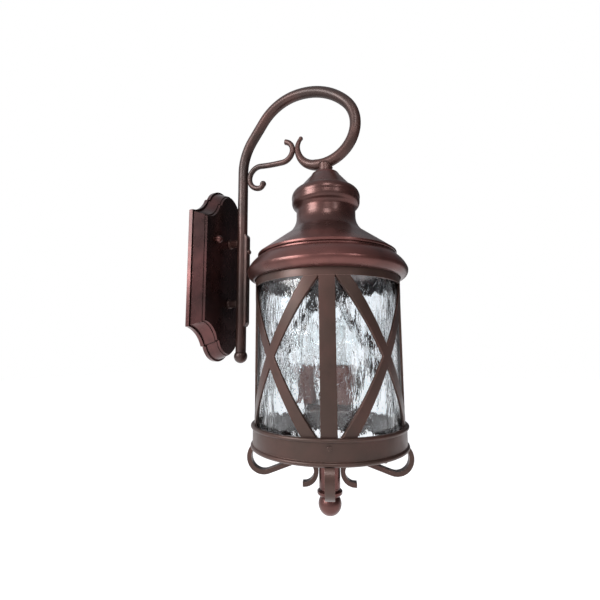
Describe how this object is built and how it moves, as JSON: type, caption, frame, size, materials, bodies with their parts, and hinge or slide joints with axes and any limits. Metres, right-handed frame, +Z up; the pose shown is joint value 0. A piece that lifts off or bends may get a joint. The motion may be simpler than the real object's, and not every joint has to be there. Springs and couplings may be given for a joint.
{
  "type": "outdoor wall lantern",
  "caption": "Wall lantern on a scrolled iron arm: ogee wall plate, bell roof, strapped drum of seeded glass, candle lamps, scroll feet and a ball finial.",
  "frame": {"origin": "on the wall, midway between the two slots of the outlet-box crossbar", "axes": "+Z up, +Y into the wall, lantern projects along -Y, X along the wall"},
  "size_m": [0.2234, 0.3017, 0.6196],
  "materials": {
    "bronze_finish": "oil-rubbed bronze, satin with reddish highlights",
    "zinc_steel": "zinc plated, dull",
    "seeded_glass": "clear with seeds and vertical ripples",
    "bulb_glass": "clear, thin",
    "lamp_cap": "nickel-brass screw shell",
    "socket_body": "black phenolic",
    "gasket_rubber": "black"
  },
  "bodies": {
    "fixture": {"arm_ball": "bronze_finish", "arm_saddle": "bronze_finish", "base_band": "bronze_finish", "base_bridge": "bronze_finish", "bridge_screws": "zinc_steel", "cage_top_ring": "bronze_finish", "candle_sleeve_1": "bronze_finish", "candle_sleeve_2": "bronze_finish", "candle_sleeve_3": "bronze_finish", "centre_rod": "zinc_steel", "cross_brace_1": "bronze_finish", "cross_brace_2": "bronze_finish", "cross_brace_3": "bronze_finish", "cross_brace_4": "bronze_finish", "foot_scroll_1": "bronze_finish", "foot_scroll_2": "bronze_finish", "foot_scroll_3": "bronze_finish", "foot_scroll_4": "bronze_finish", "glass_cylinder": "seeded_glass", "glass_gasket": "gasket_rubber", "ground_screw": "zinc_steel", "hub_nut": "zinc_steel", "lamp_hub": "bronze_finish", "lamp_socket_1": "socket_body", "lamp_socket_2": "socket_body", "lamp_socket_3": "socket_body", "mounting_crossbar": "zinc_steel", "mounting_studs": "zinc_steel", "neck_coupling": "bronze_finish", "roof_bell": "bronze_finish", "roof_brim": "bronze_finish", "roof_lock_nut": "zinc_steel", "roof_pan": "bronze_finish", "roof_pillars": "zinc_steel", "s_scroll": "bronze_finish", "saddle_cap_nut": "bronze_finish", "scroll_arm": "bronze_finish", "standoff_lower": "bronze_finish", "standoff_screws": "zinc_steel", "standoff_upper": "bronze_finish", "stem_collar": "bronze_finish", "stem_tube": "bronze_finish", "strap_screws": "bronze_finish", "threaded_nipple": "zinc_steel", "upright_strap_1": "bronze_finish", "upright_strap_2": "bronze_finish", "upright_strap_3": "bronze_finish", "upright_strap_4": "bronze_finish", "wall_plate": "bronze_finish"},
    "finial": {"ball_finial": "bronze_finish"},
    "left_nut": {"cap_nut_left": "bronze_finish"},
    "right_nut": {"cap_nut_right": "bronze_finish"},
    "lamp_1": {"bulb_1": "bulb_glass", "bulb_base_1": "lamp_cap"},
    "lamp_2": {"bulb_2": "bulb_glass", "bulb_base_2": "lamp_cap"},
    "lamp_3": {"bulb_3": "bulb_glass", "bulb_base_3": "lamp_cap"}
  },
  "joints": [
    {"name": "finial_turn", "type": "hinge", "parent": "fixture", "child": "finial", "pos_m": [0, -0.19, -0.3694], "axis": [0, 0, 1], "continuous": true},
    {"name": "left_nut_turn", "type": "hinge", "parent": "fixture", "child": "left_nut", "pos_m": [-0.034, -0.028, 0], "axis": [0, -1, 0], "continuous": true},
    {"name": "right_nut_turn", "type": "hinge", "parent": "fixture", "child": "right_nut", "pos_m": [0.034, -0.028, 0], "axis": [0, -1, 0], "continuous": true},
    {"name": "lamp_1_turn", "type": "hinge", "parent": "fixture", "child": "lamp_1", "pos_m": [-0.01724, -0.16794, -0.2025], "axis": [0, 0, 1], "continuous": true},
    {"name": "lamp_2_turn", "type": "hinge", "parent": "fixture", "child": "lamp_2", "pos_m": [-0.01049, -0.21596, -0.2025], "axis": [0, 0, 1], "continuous": true},
    {"name": "lamp_3_turn", "type": "hinge", "parent": "fixture", "child": "lamp_3", "pos_m": [0.02773, -0.1861, -0.2025], "axis": [0, 0, 1], "continuous": true}
  ]
}
